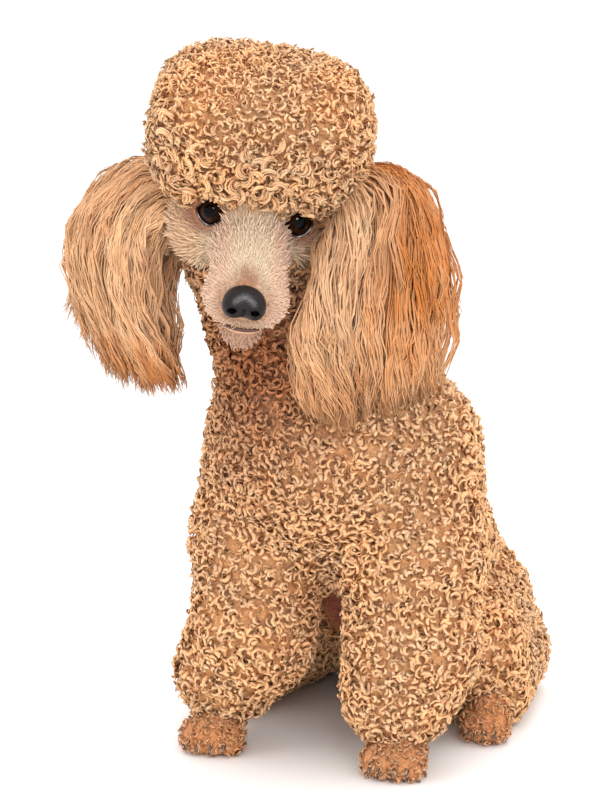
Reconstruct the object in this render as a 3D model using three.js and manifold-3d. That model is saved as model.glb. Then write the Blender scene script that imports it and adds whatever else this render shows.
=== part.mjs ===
// A miniature poodle sitting upright with its head turned and tilted, as a still, life-size model.
// Millimetres, +Z up. The dog faces -Y and its left is +X. The origin is on the floor, under its seat.
import * as THREE from 'three';
import { mergeVertices } from 'three/addons/utils/BufferGeometryUtils.js';
import { MeshSurfaceSampler } from 'three/addons/math/MeshSurfaceSampler.js';
import Module from 'manifold-3d';

const wasm = await Module();
wasm.setup();

// Driving dimensions
const GAP = 0.3; // between neighbouring pieces
const SHOULDERS = 244; // height at which the neck parts from the torso
const SEAT = 60; // radius of the rump that rests on the floor
// Depths over the flesh: of the curls' tips, of the dense core below them, and half a clump's height.
// spacing is the least distance between two clumps, and sizes are chosen to cover the coat.
const CURLS = {
  body: { tips: 25, core: 11, high: 19, spacing: 50 },
  thigh: { tips: 21, core: 9, high: 17, spacing: 49 },
  tail: { tips: 12, core: 1, high: 14, spacing: 32 },
  topknot: { tips: 1, core: -26, high: 28, spacing: 46 },
};
const SHORT = { face: 4, paw: 4 }; // short hair over the flesh
const LEATHER = { thick: 5, reach: 0.45 }; // reach as a share of the ear's length, skull to tips
const LOCK = { wide: 16, thick: 5 }; // half sizes
// Rows of locks on the two faces of the ear's leather: where they start and end, and how far they stand out.
const TIERS = [
  { face: 1, from: 0.4, to: 1, locks: 5, out: 8 },
  { face: 1, from: 0.2, to: 0.8, locks: 4, out: 18 },
  { face: -1, from: 0.4, to: 1, locks: 4, out: 8 },
  { face: -1, from: 0.2, to: 0.8, locks: 3, out: 18 },
];
const HEAD_AT = new THREE.Vector3(-29, -215, 368); // midway between the eyes
const HEAD_TURN = { yaw: 19, pitch: 13, roll: 8 }; // degrees: to the left, down, left side down
const EYE = { apart: 53, radius: 10, at: [4.5, 1.5], outward: 14, upward: 8, lid: 2.2, opening: [20, 15.5] };
const TOPKNOT = { half: [75, 66, 52], at: [-2, 42, 46], power: 2.9 };
const NOSE = { width: 26, at: [-1.5, -70, -29] };
const MOUTH = { drop: 51, corner: 36 }; // below the eyes, and how far back it runs
const SIDES = { left: 1, right: -1 };
const STANCE = {
  left: { paw: [60, -187], leg: [63, -166], elbow: [56, -144], wide: 28 },
  right: { paw: [-71, -178], leg: [-49, -166], elbow: [-50, -144], wide: 26 },
};
const HINDPAW = { x: 97, y: -98 };

const v = (x, y, z) => new THREE.Vector3(x, y, z);
const degrees = THREE.MathUtils.degToRad;
const lerp = THREE.MathUtils.lerp;

// A place and a turn in degrees: about Z first, then X, then Y.
function placed(at, turn = [0, 0, 0]) {
  const euler = new THREE.Euler(...turn.map(degrees), 'ZXY');
  return new THREE.Matrix4().makeRotationFromEuler(euler).setPosition(at);
}
const headFrame = placed(HEAD_AT, [HEAD_TURN.pitch, HEAD_TURN.roll, HEAD_TURN.yaw]);

// Rounded forms, as distance functions

// A tapered rod with round ends.
function rod(a, ra, b, rb) {
  const along = b.clone().sub(a);
  const length2 = along.lengthSq();
  return (p) => {
    const h = THREE.MathUtils.clamp(p.clone().sub(a).dot(along) / length2, 0, 1);
    return p.distanceTo(a.clone().addScaledVector(along, h)) - lerp(ra, rb, h);
  };
}

// An ellipsoid with half sizes, squarer as power grows.
function egg(at, half, power = 2) {
  return (p) => {
    const q = p.clone().sub(at);
    const sum =
      Math.abs(q.x / half[0]) ** power +
      Math.abs(q.y / half[1]) ** power +
      Math.abs(q.z / half[2]) ** power;
    const reach = sum ** (1 / power);
    return reach < 1e-6 ? -Math.min(...half) : q.length() * (1 - 1 / reach);
  };
}

// The forms joined, with a soft valley of the given width where they meet.
function blend(forms, soft) {
  return (p) => {
    let near = Infinity;
    for (const form of forms) {
      const d = form(p);
      const h = Math.max(soft - Math.abs(near - d), 0) / soft;
      near = near === Infinity ? d : Math.min(near, d) - (h * h * soft) / 4;
    }
    return near;
  };
}

// Where a ray from inside a form meets its surface, raised by lift.
function surfacePoint(form, from, direction, lift) {
  const step = 5;
  let far = step;
  const at = (t) => from.clone().addScaledVector(direction, t);
  while (form(at(far)) < lift && far < 400) far += step;
  let near = far - step;
  for (let i = 0; i < 12; i++) {
    const middle = (near + far) / 2;
    if (form(at(middle)) < lift) near = middle;
    else far = middle;
  }
  return at((near + far) / 2);
}

// A closed skin round a form. Its rings run along the path, and its poles close the two ends.
function wrap(form, path, { lift = 0, sides = 16, rings = 14, capRings = 3, side = v(1, 0, 0) } = {}) {
  const sphere = new THREE.SphereGeometry(1, sides, rings);
  const curve = path.length > 2 ? new THREE.CatmullRomCurve3(path) : new THREE.LineCurve3(...path);
  const points = sphere.getAttribute('position');
  const columns = sides + 1;
  for (let i = 0; i < points.count; i++) {
    const ring = Math.floor(i / columns);
    const turn = (((i % columns) % sides) / sides) * 2 * Math.PI;
    const t = THREE.MathUtils.clamp((ring - capRings) / (rings - 2 * capRings), 0, 1);
    const from = curve.getPointAt(t);
    const along = curve.getTangentAt(t);
    const across = side.clone().addScaledVector(along, -side.dot(along)).normalize();
    const other = along.clone().cross(across);
    const outward = across.multiplyScalar(Math.cos(turn)).addScaledVector(other, Math.sin(turn));
    const tip = Math.max(capRings - ring, ring - (rings - capRings), 0) / capRings;
    const lean = (tip * Math.PI) / 2;
    const sign = ring < rings / 2 ? -1 : 1;
    const direction = outward
      .multiplyScalar(tip === 1 ? 0 : Math.cos(lean))
      .addScaledVector(along, sign * Math.sin(lean));
    const p = surfacePoint(form, from, direction.normalize(), lift);
    points.setXYZ(i, p.x, p.y, p.z);
  }
  return sphere;
}

// Solids

// A closed three.js geometry as a solid that can be joined and cut.
function solid(geometry) {
  const bare = geometry.index ? geometry.toNonIndexed() : geometry.clone();
  for (const name of Object.keys(bare.attributes)) {
    if (name !== 'position') bare.deleteAttribute(name);
  }
  const merged = mergeVertices(bare, 1e-3);
  const triangles = [];
  for (let i = 0; i < merged.index.count; i += 3) {
    const corners = [0, 1, 2].map((k) => merged.index.getX(i + k));
    if (new Set(corners).size === 3) triangles.push(...corners);
  }
  const make = (order) =>
    new wasm.Manifold(
      new wasm.Mesh({
        numProp: 3,
        vertProperties: new Float32Array(merged.getAttribute('position').array),
        triVerts: new Uint32Array(order),
      }),
    );
  const made = make(triangles);
  return made.volume() > 0 ? made : make(triangles.reverse());
}

const inHead = (geometry) => solid(geometry.applyMatrix4(headFrame));
const without = (body, others) => others.reduce((rest, other) => rest.subtract(other), body);
const largest = (body) => body.decompose().sort((a, b) => b.volume() - a.volume())[0];
const aboveFloor = (body) => body.trimByPlane([0, 0, 1], 0);

// A flat outline moved outwards by a distance, all its sides alike.
function widened(outline, distance) {
  const corners = outline.map((c) => new THREE.Vector2(...c));
  const normal = (a, b) => new THREE.Vector2(b.y - a.y, a.x - b.x).normalize();
  return corners.map((corner, i) => {
    const before = normal(corners.at(i - 1), corner);
    const after = normal(corner, corners[(i + 1) % corners.length]);
    const reach = distance / (1 + before.dot(after));
    return corner.clone().addScaledVector(before.add(after), reach);
  });
}

// The share of the body that a node takes: an anticlockwise front-view outline between two depths.
function region({ outline, from, to, mirror = false }, grow = 0) {
  const shape = new THREE.Shape(widened(outline, grow));
  const depth = to - from + 2 * grow;
  const prism = new THREE.ExtrudeGeometry(shape, { depth, bevelEnabled: false });
  prism.applyMatrix4(placed(v(0, to + grow, 0), [90, 0, 0]));
  if (mirror) prism.scale(-1, 1, 1);
  return solid(prism);
}

// All of space above a plane, as a large block.
function above(frame, grow = 0) {
  const size = 400;
  const box = new THREE.BoxGeometry(size, size, size);
  box.translate(0, 0, size / 2 - grow);
  return box.applyMatrix4(frame);
}

// Curls and locks

// Numbers from 0 to 1 that come out alike each time.
function seeded(seed) {
  let state = seed;
  return () => {
    state = (state * 1664525 + 1013904223) % 4294967296;
    return state / 4294967296;
  };
}

// The direction in which a form's surface faces.
function outward(form, p) {
  const step = 0.5;
  const slope = ['x', 'y', 'z'].map((axis) => {
    const ahead = p.clone();
    const behind = p.clone();
    ahead[axis] += step;
    behind[axis] -= step;
    return form(ahead) - form(behind);
  });
  return v(...slope).normalize();
}

// Points spread evenly over a skin, none nearer to another than the spacing.
function spreadOver(skin, spacing, random) {
  const sampler = new MeshSurfaceSampler(new THREE.Mesh(skin)).setRandomGenerator(random).build();
  const draws = 4000;
  const points = [];
  const p = v(0, 0, 0);
  for (let i = 0; i < draws; i++) {
    sampler.sample(p);
    if (points.every((other) => other.distanceTo(p) > spacing)) points.push(p.clone());
  }
  return points;
}

// A coat of rounded clumps set close, rooted in a core, over the form that the path runs through.
function curly(form, path, { tips, core, high, spacing }, seed, { keep = () => true, ...shape } = {}) {
  const random = seeded(seed);
  const vary = (share) => 1 + share * (2 * random() - 1);
  const wide = spacing * 0.76;
  const skin = wrap(form, path, { lift: tips, sides: 24, rings: 20, capRings: 5, ...shape });
  const roots = spreadOver(skin, spacing, random).filter(keep);
  const clumps = roots.map((root) => {
    const clump = new THREE.IcosahedronGeometry(1, 0);
    clump.rotateX(random() * Math.PI).rotateY(random() * Math.PI);
    clump.scale(wide * vary(0.1), high * vary(0.08), wide * vary(0.1));
    const out = outward(form, root);
    const middle = root.addScaledVector(out, -high);
    const facing = new THREE.Quaternion().setFromUnitVectors(v(0, 1, 0), out);
    return solid(clump.applyQuaternion(facing).translate(...middle.toArray()));
  });
  const inner = wrap(form, path, { lift: core, sides: 14, rings: 12, capRings: 3, ...shape });
  return wasm.Manifold.union([solid(inner), ...clumps]);
}

// The flesh of the body

function shoulderRods(side) {
  const { elbow, leg, wide } = STANCE[side];
  return [
    rod(v(elbow[0] * 0.8, -130, 206), wide + 4, v(...elbow, 140), wide),
    rod(v(...elbow, 140), wide, v(...leg, 80), wide - 5),
  ];
}
const trunkForm = blend(
  [
    rod(v(0, -148, 212), 54, v(0, -95, 172), 60),
    rod(v(0, -95, 172), 60, v(0, -35, 116), 54),
    rod(v(0, -35, 116), 54, v(0, 8, 76), SEAT),
    shoulderRods('left')[0],
    shoulderRods('right')[0],
    rod(v(0, -136, 212), 56, v(-18, -140, 290), 42),
    rod(v(-18, -140, 290), 42, v(-45, -156, 354), 38),
  ],
  20,
);
const torsoPath = [v(0, -148, 208), v(0, -95, 172), v(0, -35, 116), v(0, 8, 76)];
const neckPath = [v(0, -136, 222), v(-18, -140, 290), v(-45, -156, 354)];

function forelegForm(side) {
  const { paw, leg, wide } = STANCE[side];
  const wrist = rod(v(...leg, 80), wide - 5, v(paw[0] * 0.94, paw[1] + 14, 52), wide - 9);
  return blend([...shoulderRods(side), wrist], 12);
}
function forelegPath(side) {
  const { paw, leg, elbow } = STANCE[side];
  return [v(...elbow, 160), v(...elbow, 140), v(...leg, 80), v(paw[0] * 0.94, paw[1] + 14, 56)];
}

function thighForm(s) {
  return blend(
    [
      rod(v(s * 50, 4, 64), 33, v(s * 72, -72, 56), 23),
      rod(v(s * 72, -72, 56), 23, v(s * 74, 12, 30), 17),
      rod(v(s * 74, 12, 30), 17, v(s * 88, -66, 22), 12),
    ],
    14,
  );
}
const thighPath = (s) => [v(s * 62, 10, 52), v(s * 70, -30, 48), v(s * 76, -64, 44)];

const TOES = [-0.72, -0.26, 0.26, 0.72]; // across the paw, in half widths
const toeAt = ({ at, wide, long }, k) => v(at[0] + k * wide, at[1] - long * (0.58 - 0.35 * k * k), 10);
function pawForm(paw) {
  const { at, wide, long } = paw;
  const toes = TOES.map((k) => egg(toeAt(paw, k), [wide * 0.4, long * 0.5, 10]));
  return blend([egg(v(at[0], at[1] + 2, 14), [wide * 0.92, long * 0.85, 17]), ...toes], 3);
}

const tailForm = blend(
  [rod(v(0, 78, 24), 12, v(12, 130, 21), 11), egg(v(19, 156, 26), [22, 22, 20])],
  8,
);
const tailPath = [v(2, 88, 22), v(10, 122, 21), v(17, 150, 23)];

// The flesh of the head, in its own frame: +x to its left, -y forwards, origin midway between the eyes

const faceForm = blend(
  [
    egg(v(0, 42, 12), [38, 52, 34]),
    egg(v(20, 6, 14), [14, 12, 11]),
    egg(v(-20, 6, 14), [14, 12, 11]),
    egg(v(33, 16, 2), [11, 14, 14]),
    egg(v(-33, 16, 2), [11, 14, 14]),
    egg(v(30, 32, -16), [22, 32, 26]),
    egg(v(-30, 32, -16), [22, 32, 26]),
    rod(v(0, -2, -14), 23, v(0, -48, -26), 20),
    egg(v(12, -42, -36), [12.5, 22, 13]),
    egg(v(-12, -42, -36), [12.5, 22, 13]),
    rod(v(0, 30, -40), 20, v(0, -46, -55), 10),
  ],
  8,
);
const facePath = [v(0, 50, 0), v(0, -42, -32)];

const noseAt = v(...NOSE.at);
const noseForm = blend(
  [
    egg(noseAt.clone().add(v(0, 2, 2)), [NOSE.width * 0.47, 10, 10]),
    egg(noseAt.clone().add(v(NOSE.width * 0.27, -1, -1)), [NOSE.width * 0.25, 8, 7.5]),
    egg(noseAt.clone().add(v(-NOSE.width * 0.27, -1, -1)), [NOSE.width * 0.25, 8, 7.5]),
  ],
  4,
);
const nosePath = [noseAt.clone().add(v(0, 5, 1)), noseAt.clone().add(v(0, -3, 0))];

const topknotForm = blend(
  [egg(v(...TOPKNOT.at), TOPKNOT.half, TOPKNOT.power), egg(v(-2, 68, 14), [58, 42, 52], 2.3)],
  16,
);
const topknotPath = [-22, 22].map((x) => v(...TOPKNOT.at).add(v(x, 0, 0)));

// The head's pieces

function face(grow = 0) {
  return inHead(wrap(faceForm, facePath, { lift: SHORT.face + grow, sides: 24, rings: 24, capRings: 6 }));
}
function eyeFrame(s) {
  const [back, up] = EYE.at;
  return placed(v((s * EYE.apart) / 2, back, up), [-EYE.upward, 0, s * EYE.outward]);
}
function eyeball(s, grow = 0) {
  const ball = new THREE.SphereGeometry(EYE.radius + grow, 12, 9);
  return inHead(ball.applyMatrix4(placed(v(0, 0, 0), [90, 0, 0])).applyMatrix4(eyeFrame(s)));
}

// The lids: a round shell over each eyeball, with an almond opening in front.
function lidded(head, s) {
  const shell = new THREE.SphereGeometry(EYE.radius + EYE.lid, 14, 10);
  const [wide, high] = EYE.opening.map((size) => size / 2);
  const almond = new THREE.Shape();
  almond.moveTo(-wide, 0);
  almond.quadraticCurveTo(0, -2 * high, wide, 0);
  almond.quadraticCurveTo(0, 2 * high, -wide, 0);
  const cut = new THREE.ExtrudeGeometry(almond, { depth: 40, bevelEnabled: false, curveSegments: 4 });
  cut.applyMatrix4(placed(v(0, 0, 0), [90, 0, 0]));
  return head.add(inHead(shell.applyMatrix4(eyeFrame(s)))).subtract(inHead(cut.applyMatrix4(eyeFrame(s))));
}

// The line of the mouth, as a fine groove round the muzzle from corner to corner.
function mouthLine() {
  const steps = 16;
  const points = [];
  for (let i = 0; i <= steps; i++) {
    const t = (2 * i) / steps - 1;
    const from = v(0, -40 + MOUTH.corner * t * t, -MOUTH.drop + 3 * t * t);
    const direction = v(Math.sin((t * Math.PI) / 2), -Math.cos((t * Math.PI) / 2), 0);
    points.push(surfacePoint(faceForm, from, direction, SHORT.face - 0.6));
  }
  const section = new THREE.Shape();
  section.absarc(0, 0, 1.3, 0, 2 * Math.PI);
  const extrudePath = new THREE.CatmullRomCurve3(points);
  return inHead(new THREE.ExtrudeGeometry(section, { extrudePath, steps: 14, curveSegments: 2 }));
}

function nose(grow = 0) {
  return inHead(wrap(noseForm, nosePath, { lift: grow, sides: 16, rings: 11, capRings: 4 }));
}
function nostril(s) {
  const hole = new THREE.SphereGeometry(1, 8, 6).scale(2.6, 5, 2.2);
  return inHead(hole.applyMatrix4(placed(noseAt.clone().add(v(s * 7.2, -8, -1)), [0, s * 24, s * 30])));
}
function philtrum() {
  const slot = new THREE.BoxGeometry(1.1, 6, 12);
  return inHead(slot.translate(NOSE.at[0], NOSE.at[1] - 9.5, NOSE.at[2] - 7));
}

const topknotShape = { capRings: 8, side: v(0, 0, 1) };
const topknot = () => curly(topknotForm, topknotPath, CURLS.topknot, 19, topknotShape).transform([
  ...headFrame.elements,
]);
function topknotSpace() {
  const lift = GAP + 5;
  return inHead(wrap(topknotForm, topknotPath, { lift, sides: 24, rings: 18, ...topknotShape }));
}

// The plane of parting of the head from the neck, and the hair line from the brows to the nape.
const headPart = (grow) => inHead(above(placed(v(0, 45, -34), [50, 0, 0]), grow));
const hairPart = (grow) => inHead(above(placed(v(0, -17, 19), [-20, 0, 0]), grow));

// The body's pieces

const MARGIN = 14; // how far past a node's share its clumps are still made
const torso = () =>
  curly(trunkForm, torsoPath, CURLS.body, 11, {
    keep: ({ x, y, z }) =>
      z < SHOULDERS + MARGIN &&
      !(Math.abs(x) > 50 + MARGIN && z < 146 - MARGIN && (y < -116 - MARGIN || y > -114 + MARGIN)),
  });
const neck = () =>
  curly(trunkForm, neckPath, CURLS.body, 12, { keep: ({ z }) => z > SHOULDERS - MARGIN });
const foreleg = (side) => curly(forelegForm(side), forelegPath(side), CURLS.body, side === 'left' ? 13 : 14);
const thigh = (s) => curly(thighForm(s), thighPath(s), CURLS.thigh, 15 + s);

// All that the trunk's coat may fill, from the shoulders up and down, for what lies against it.
function trunkSpace() {
  const lift = CURLS.body.tips + 4;
  const up = solid(wrap(trunkForm, neckPath, { lift, sides: 24, rings: 14, capRings: 3 }));
  const down = solid(wrap(trunkForm, torsoPath, { lift, sides: 24, rings: 20, capRings: 5 }));
  return up.add(down.subtract(region(shouldersUp)));
}
function paw(shape, grow = 0) {
  const [x, y] = shape.at;
  const path = [v(x, y + 6, 14), v(x, y - 6, 11)];
  return solid(wrap(pawForm(shape), path, { lift: SHORT.paw + grow, sides: 14, rings: 8, capRings: 3 }));
}
const tail = () => curly(tailForm, tailPath, CURLS.tail, 18, { capRings: 4 });

// A claw on each toe, pointing forwards and down.
function clawed(body, shape) {
  const claws = TOES.map((k) => {
    const claw = new THREE.ConeGeometry(2.4, 13, 4);
    const tip = toeAt(shape, k).add(v(0, -shape.long * 0.5 - 3, -1));
    return solid(claw.applyMatrix4(placed(tip, [-155, 0, 0])));
  });
  return claws.reduce((whole, claw) => whole.add(claw), body);
}

// The ears: a cupped leather that hangs from the skull, and long hair that lies from it to the tips.
// Each guide runs from the skull to the tips, and the guides go from the front edge to the back edge.
const EARS = {
  right: {
    seed: 31,
    guides: [
      [v(-62, -190, 366), v(-92, -194, 352), v(-98, -196, 306), v(-88, -192, 250)],
      [v(-62, -180, 372), v(-108, -184, 370), v(-130, -184, 322), v(-118, -180, 246)],
      [v(-62, -170, 376), v(-118, -172, 380), v(-158, -172, 336), v(-146, -172, 254)],
      [v(-62, -162, 376), v(-124, -162, 380), v(-170, -162, 350), v(-180, -162, 288)],
    ],
  },
  left: {
    seed: 32,
    guides: [
      [v(-14, -180, 352), v(26, -196, 352), v(2, -224, 304), v(8, -228, 250)],
      [v(-12, -172, 358), v(34, -188, 376), v(28, -214, 312), v(34, -218, 240)],
      [v(-12, -158, 362), v(44, -172, 384), v(62, -182, 322), v(60, -188, 250)],
      [v(-12, -148, 362), v(46, -156, 380), v(80, -156, 330), v(80, -160, 256)],
    ],
  },
};

// A place on an ear's lie: from 0 to 1 across it from front to back, and from the skull to the tips.
function earLie({ guides }, across, down) {
  const row = guides.map((guide) => new THREE.CatmullRomCurve3(guide).getPoint(down));
  return new THREE.CatmullRomCurve3(row).getPoint(across);
}
function earFacing(ear, across, down) {
  const step = 0.04;
  const acrossWay = earLie(ear, Math.min(across + step, 1), down).sub(
    earLie(ear, Math.max(across - step, 0), down),
  );
  const downWay = earLie(ear, across, Math.min(down + step, 1)).sub(
    earLie(ear, across, Math.max(down - step, 0)),
  );
  return acrossWay.cross(downWay).normalize();
}

// The leather, a sheet as wide as the ear's root that ends half way down the hair.
function leather(ear) {
  const sheet = new THREE.BoxGeometry(1, 1, 1, 4, 4, 1);
  const points = sheet.getAttribute('position');
  for (let i = 0; i < points.count; i++) {
    const across = points.getX(i) + 0.5;
    const down = LEATHER.reach * (points.getY(i) + 0.5);
    const p = earLie(ear, across, down);
    p.addScaledVector(earFacing(ear, across, down), points.getZ(i) * LEATHER.thick);
    points.setXYZ(i, p.x, p.y, p.z);
  }
  return solid(sheet);
}

// A flat, tapered lock along a curve, with its flat side facing a given way.
function lock(curve, wide, thick, facing) {
  const bends = 4;
  const cone = new THREE.ConeGeometry(1, 1, 3, bends);
  const points = cone.getAttribute('position');
  for (let i = 0; i < points.count; i++) {
    const t = points.getY(i) + 0.5;
    const middle = curve.getPoint(t);
    const along = curve.getTangent(t);
    const flat = facing.clone().addScaledVector(along, -facing.dot(along)).normalize();
    const side = along.clone().cross(flat);
    const taper = t === 1 ? 0 : (0.8 + 0.2 * Math.sin(Math.PI * t) - 0.35 * t ** 3) / (1 - t);
    middle.addScaledVector(side, points.getX(i) * taper * wide);
    middle.addScaledVector(flat, points.getZ(i) * taper * thick);
    points.setXYZ(i, middle.x, middle.y, middle.z);
  }
  return solid(cone);
}

// An ear's locks in tiers over both faces of its leather, each bending with the lie.
function ear(side) {
  const shape = EARS[side];
  const random = seeded(shape.seed);
  const vary = (spread) => spread * (2 * random() - 1);
  const pieces = [leather(shape)];
  for (const { face, from, to, locks, out } of TIERS) {
    for (let i = 0; i < locks; i++) {
      const across = (i + 0.5) / locks + vary(0.2 / locks);
      const end = to + vary(0.04);
      const sway = vary(5);
      const points = [0, 0.25, 0.5, 0.75, 1].map((t) => {
        const down = lerp(from, end, t);
        const p = earLie(shape, across, down);
        const wave = sway * Math.sin(t * 5);
        p.addScaledVector(earFacing(shape, across, down), face * out * Math.sin(t * 2.4));
        return p.add(v(wave, 0, 0));
      });
      const facing = earFacing(shape, across, (from + end) / 2);
      pieces.push(lock(new THREE.CatmullRomCurve3(points), LOCK.wide, LOCK.thick, facing));
    }
  }
  return wasm.Manifold.union(pieces);
}

// Where each leg parts from the body, in a front view of the left side.
const PARTING = {
  foreleg: {
    outline: [[14, -20], [200, -20], [200, 160], [52, 146], [18, 70]],
    from: -400,
    to: -116,
  },
  hindleg: {
    outline: [[36, -20], [250, -20], [250, 150], [84, 118], [52, 60]],
    from: -114,
    to: 90,
  },
};
const shouldersUp = {
  outline: [[-200, SHOULDERS], [200, SHOULDERS], [200, 500], [-200, 500]],
  from: -400,
  to: 100,
};

// The nodes

const made = {};
const eyeHoles = Object.values(SIDES).map((s) => eyeball(s, GAP));
const hairCut = topknotSpace().intersect(hairPart(GAP));
const faceCut = face(GAP);
const skullCut = faceCut.intersect(headPart(GAP));

for (const [side, s] of Object.entries(SIDES)) made['eye_' + side] = eyeball(s);
made.nose = without(nose(), [nostril(1), nostril(-1), philtrum()]);
const lids = Object.values(SIDES).reduce(lidded, face());
made.head = without(lids, [nose(GAP), mouthLine(), ...eyeHoles]).intersect(headPart(-GAP / 2));
made.topknot = without(topknot().intersect(hairPart(0)), [skullCut, ...eyeHoles]);
made.neck = without(neck().intersect(region(shouldersUp)), [headPart(GAP / 2), hairPart(GAP)]);

let trunk = torso().subtract(region(shouldersUp, GAP));
for (const [side, s] of Object.entries(SIDES)) {
  const forepaw = { at: STANCE[side].paw, wide: 18, long: 20 };
  const hindpaw = { at: [s * HINDPAW.x, HINDPAW.y], wide: 13, long: 16 };
  const forePart = { ...PARTING.foreleg, mirror: s < 0 };
  const hindPart = { ...PARTING.hindleg, mirror: s < 0 };
  made['forepaw_' + side] = aboveFloor(clawed(paw(forepaw), forepaw));
  made['foreleg_' + side] = without(foreleg(side).intersect(region(forePart)), [
    clawed(paw(forepaw, GAP), forepaw),
  ]).trimByPlane([0, 0, 1], 26);
  made['hindpaw_' + side] = aboveFloor(clawed(paw(hindpaw), hindpaw));
  made['hindleg_' + side] = without(aboveFloor(thigh(s)).intersect(region(hindPart)), [
    clawed(paw(hindpaw, GAP), hindpaw),
  ]);
  trunk = without(trunk, [region(forePart, GAP), region(hindPart, GAP)]);
}
made.torso = aboveFloor(trunk);
const bodyCut = trunkSpace();
made.tail = aboveFloor(tail()).subtract(bodyCut);
for (const side of Object.keys(SIDES)) {
  made['ear_' + side] = without(ear(side), [faceCut, hairCut, bodyCut, ...eyeHoles]);
}

// The finished dog

const LOOKS = {
  coat: { color: 0xd9a36b, roughness: 0.95 },
  ear: { color: 0xc98550, roughness: 0.9 },
  head: { color: 0xe6c8a0, roughness: 0.9 },
  paw: { color: 0xc88a5a, roughness: 0.9 },
  nose: { color: 0x2c2422, roughness: 0.4 },
  eye: { color: 0x2a160c, roughness: 0.1 },
};
function lookOf(name) {
  const kind = name.replace(/^fore|^hind|_left$|_right$/g, '');
  return LOOKS[kind] ?? LOOKS.coat;
}

const dog = new THREE.Group();
for (const [name, body] of Object.entries(made)) {
  const mesh = largest(body).getMesh();
  const positions = new Float32Array(mesh.numVert * 3);
  for (let i = 0; i < mesh.numVert; i++) {
    positions.set(mesh.vertProperties.subarray(i * mesh.numProp, i * mesh.numProp + 3), i * 3);
  }
  const geometry = new THREE.BufferGeometry();
  geometry.setAttribute('position', new THREE.BufferAttribute(positions, 3));
  geometry.setIndex(new THREE.BufferAttribute(mesh.triVerts, 1));
  geometry.computeVertexNormals();
  const part = new THREE.Mesh(geometry, new THREE.MeshStandardMaterial({ metalness: 0, ...lookOf(name) }));
  part.name = name;
  dog.add(part);
}

export default dog;
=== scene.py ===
"""Looks of the sitting miniature poodle: its skin, curly coat, hanging ears and face, in a plain studio.

Shapes are worked out in millimetres, in the frame of the solids, and written to the meshes in metres.
"""
import math

import bpy
import numpy as np
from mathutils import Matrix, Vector


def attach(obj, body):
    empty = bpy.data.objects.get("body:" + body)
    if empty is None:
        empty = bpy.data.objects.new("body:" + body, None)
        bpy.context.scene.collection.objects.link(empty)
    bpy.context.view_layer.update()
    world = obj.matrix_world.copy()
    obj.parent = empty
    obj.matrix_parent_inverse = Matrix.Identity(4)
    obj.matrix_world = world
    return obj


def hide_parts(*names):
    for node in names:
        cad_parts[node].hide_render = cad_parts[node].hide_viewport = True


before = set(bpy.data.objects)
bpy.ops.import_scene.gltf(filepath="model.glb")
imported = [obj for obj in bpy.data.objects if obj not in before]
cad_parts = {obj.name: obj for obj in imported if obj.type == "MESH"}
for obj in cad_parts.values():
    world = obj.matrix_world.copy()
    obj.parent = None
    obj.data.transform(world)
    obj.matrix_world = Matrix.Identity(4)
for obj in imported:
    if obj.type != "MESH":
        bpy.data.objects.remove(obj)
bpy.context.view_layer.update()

MM = 0.001

# Driving dimensions, as in the solids
HEAD_AT = np.array([-29.0, -215.0, 368.0])
HEAD_TURN = {"yaw": 19, "pitch": 13, "roll": 8}
EYE = {
    "apart": 53,
    "radius": 10,
    "at": (4.5, 1.5),
    "outward": 14,
    "upward": 8,
    "lid": 1.8,
    "opening": (21, 18),
}
NOSE_AT = np.array([-1.5, -70.0, -29.0])
MOUTH = {"drop": 51, "corner": 36}
SEAT = 60
SIDES = {"left": 1, "right": -1}
STANCE = {
    "left": {"paw": (60, -187), "leg": (63, -166), "elbow": (56, -144), "wide": 28},
    "right": {"paw": (-71, -178), "leg": (-49, -166), "elbow": (-50, -144), "wide": 26},
}
HINDPAW = (97, -98)
TOES = (-0.72, -0.26, 0.26, 0.72)

# Small helpers


def unit(a):
    """Vectors made one long."""
    return a / np.maximum(np.linalg.norm(a, axis=-1, keepdims=True), 1e-9)


def smooth(t):
    """From 0 to 1 with soft ends, as t goes from 0 to 1."""
    t = np.clip(t, 0, 1)
    return t * t * (3 - 2 * t)


def colour(code):
    """Linear red, green and blue of a hex colour."""
    parts = [int(code[i : i + 2], 16) / 255 for i in (0, 2, 4)]
    return np.array([c / 12.92 if c <= 0.04045 else ((c + 0.055) / 1.055) ** 2.4 for c in parts])


def even(tone, points):
    """One colour for all points."""
    return np.repeat(tone[None], len(points), 0)


def mix(a, b, t):
    """Colours a and b mixed by t, one value for each point."""
    return a + (b - a) * np.asarray(t)[..., None]


def turned(pitch, roll, yaw):
    """A rotation in degrees: roll about Y first, then pitch about X, then yaw about Z."""
    x, y, z = (math.radians(angle) for angle in (pitch, roll, yaw))
    about_x = np.array([[1, 0, 0], [0, math.cos(x), -math.sin(x)], [0, math.sin(x), math.cos(x)]])
    about_y = np.array([[math.cos(y), 0, math.sin(y)], [0, 1, 0], [-math.sin(y), 0, math.cos(y)]])
    about_z = np.array([[math.cos(z), -math.sin(z), 0], [math.sin(z), math.cos(z), 0], [0, 0, 1]])
    return about_z @ about_x @ about_y


HEAD = turned(HEAD_TURN["pitch"], HEAD_TURN["roll"], HEAD_TURN["yaw"])


def to_head(p):
    """Places of the part's frame, in the head's own frame."""
    return (p - HEAD_AT) @ HEAD


def from_head(p):
    """Places of the head's own frame, in the part's frame."""
    return np.asarray(p, float) @ HEAD.T + HEAD_AT


def waves(seed, size):
    """Soft noise of about -1 to 1 over space, with features of the given size."""
    random = np.random.default_rng(seed)
    ways = unit(random.normal(size=(7, 3))) * random.uniform(0.7, 1.6, (7, 1)) * 2 * np.pi / size
    starts = random.uniform(0, 2 * np.pi, 7)
    return lambda p: np.sin(p @ ways.T + starts).sum(-1) / 3


# Rounded forms, as distance functions


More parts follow.
